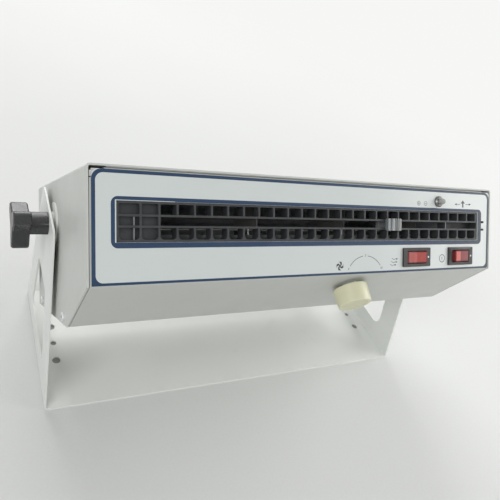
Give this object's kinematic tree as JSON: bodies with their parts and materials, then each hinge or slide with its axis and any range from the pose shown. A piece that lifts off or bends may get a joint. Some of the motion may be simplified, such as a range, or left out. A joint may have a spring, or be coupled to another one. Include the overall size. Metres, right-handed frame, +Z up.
{
  "type": "ionizing blower",
  "caption": "Benchtop ionizing air blower: sheet-metal housing with a long grille, switches and a knob, tilting between clamps in a low bracket.",
  "frame": {"origin": "middle of the base plate's underside", "axes": "+X along the housing to the end with the switches, +Y to the rear, +Z up; the outlet faces -Y and up"},
  "size_m": [0.4262, 0.211, 0.2323],
  "materials": {
    "powder_coat_bracket": "fine-textured powder coat, satin",
    "powder_coat_housing": "fine-textured powder coat, satin",
    "label_film": "satin polyester film",
    "black_grille": "moulded, satin",
    "black_handle": "moulded, fine grain",
    "switch_black": "moulded, semi-gloss",
    "rocker_red": "translucent red, gloss",
    "knob_cream": "moulded, satin gloss",
    "slider_grey": "moulded, satin",
    "screw_zinc": "bright zinc plate",
    "lamp_metal": "polished",
    "lamp_diffuser": "clear epoxy, smooth",
    "washer_nylon": "moulded nylon",
    "galvanised_sheet": "galvanised sheet",
    "plain_steel": "turned steel",
    "lamination_steel": "punched stack, oiled",
    "copper_winding": "enamelled wire under tape",
    "bobbin_nylon": "moulded",
    "sintered_bronze": "sintered",
    "grommet_rubber": "matt",
    "fan_aluminium": "thin sheet, satin",
    "emitter_nylon": "moulded",
    "emitter_steel": "ground points",
    "mica_board": "pressed mica",
    "resistance_wire": "oxidised",
    "phenolic": "moulded",
    "circuit_board": "solder mask",
    "component_body": "moulded",
    "heat_sink": "extruded",
    "potting_black": "moulded case",
    "terminal_plastic": "moulded",
    "inlet_black": "moulded",
    "inlet_brass": "stamped",
    "filter_foam": "open-cell foam"
  },
  "bodies": {
    "stand": {"bracket": "powder_coat_bracket"},
    "clamp_left": {"clamp_knob_left": "black_handle", "clamp_stud_left": "screw_zinc"},
    "clamp_right": {"clamp_knob_right": "black_handle", "clamp_stud_right": "screw_zinc"},
    "power_rocker": {"power_rocker": "rocker_red"},
    "heat_rocker": {"heat_rocker": "rocker_red"},
    "speed": {"speed_knob": "knob_cream", "speed_shaft": "plain_steel"},
    "cleaner": {"cleaner_slider": "slider_grey", "cleaner_brush": "grommet_rubber"},
    "fan": {"impeller": "fan_aluminium", "impeller_shafts": "plain_steel", "motor_rotor": "lamination_steel"},
    "housing": {"chassis": "powder_coat_housing", "cover": "powder_coat_housing", "cover_screws": "screw_zinc", "front_label": "label_film", "grille": "black_grille", "friction_washers": "washer_nylon", "pivot_nuts": "plain_steel", "end_frame_left": "galvanised_sheet", "end_frame_right": "galvanised_sheet", "power_switch_frame": "switch_black", "heat_switch_frame": "switch_black", "lamp_bezel": "lamp_metal", "lamp_lens": "lamp_diffuser", "speed_control": "plain_steel", "speed_nut": "screw_zinc", "emitter_bar": "emitter_nylon", "emitter_points": "emitter_steel", "heater_frame": "mica_board", "heater_wire": "resistance_wire", "thermal_cutout": "phenolic", "scroll": "galvanised_sheet", "tongue": "galvanised_sheet", "duct_end_left": "galvanised_sheet", "duct_end_right": "galvanised_sheet", "bearing": "sintered_bronze", "bearing_grommet": "grommet_rubber", "motor_stack": "lamination_steel", "motor_bobbin": "bobbin_nylon", "motor_coil": "copper_winding", "motor_brackets": "galvanised_sheet", "motor_bolts": "screw_zinc", "control_board": "circuit_board", "board_parts": "component_body", "board_heat_sink": "heat_sink", "board_posts": "screw_zinc", "high_voltage_block": "potting_black", "terminal_block": "terminal_plastic", "power_inlet": "inlet_black", "inlet_pins": "inlet_brass", "fuse_holder": "inlet_black", "intake_filter": "filter_foam", "filter_frame": "galvanised_sheet"}
  },
  "joints": [
    {"name": "tilt", "type": "hinge", "parent": "stand", "child": "housing", "pos_m": [-0.002, 0.0075, 0.1355], "axis": [1, 0, 0], "range_deg": [-90, 90]},
    {"name": "clamp_left_turn", "type": "hinge", "parent": "housing", "child": "clamp_left", "pos_m": [-0.194, 0.0075, 0.1355], "axis": [1, 0, 0], "continuous": true},
    {"name": "clamp_right_turn", "type": "hinge", "parent": "housing", "child": "clamp_right", "pos_m": [0.192, 0.0075, 0.1355], "axis": [1, 0, 0], "continuous": true},
    {"name": "power_press", "type": "hinge", "parent": "housing", "child": "power_rocker", "pos_m": [0.138, -0.09295, 0.18422], "axis": [0, 0.6361, 0.7716], "range_deg": [-14, 0]},
    {"name": "heat_press", "type": "hinge", "parent": "housing", "child": "heat_rocker", "pos_m": [0.084, -0.09295, 0.18422], "axis": [0, 0.6361, 0.7716], "range_deg": [0, 14]},
    {"name": "speed_turn", "type": "hinge", "parent": "housing", "child": "speed", "pos_m": [0.028, -0.0947, 0.15749], "axis": [0, -0.9211, -0.3892], "range_deg": [-150, 150]},
    {"name": "cleaner_slide", "type": "slide", "parent": "housing", "child": "cleaner", "axis": [1, 0, 0], "range_m": [-0.1887, 0.0553]},
    {"name": "fan_spin", "type": "hinge", "parent": "housing", "child": "fan", "pos_m": [-0.002, -0.01487, 0.11701], "axis": [1, 0, 0], "continuous": true}
  ]
}
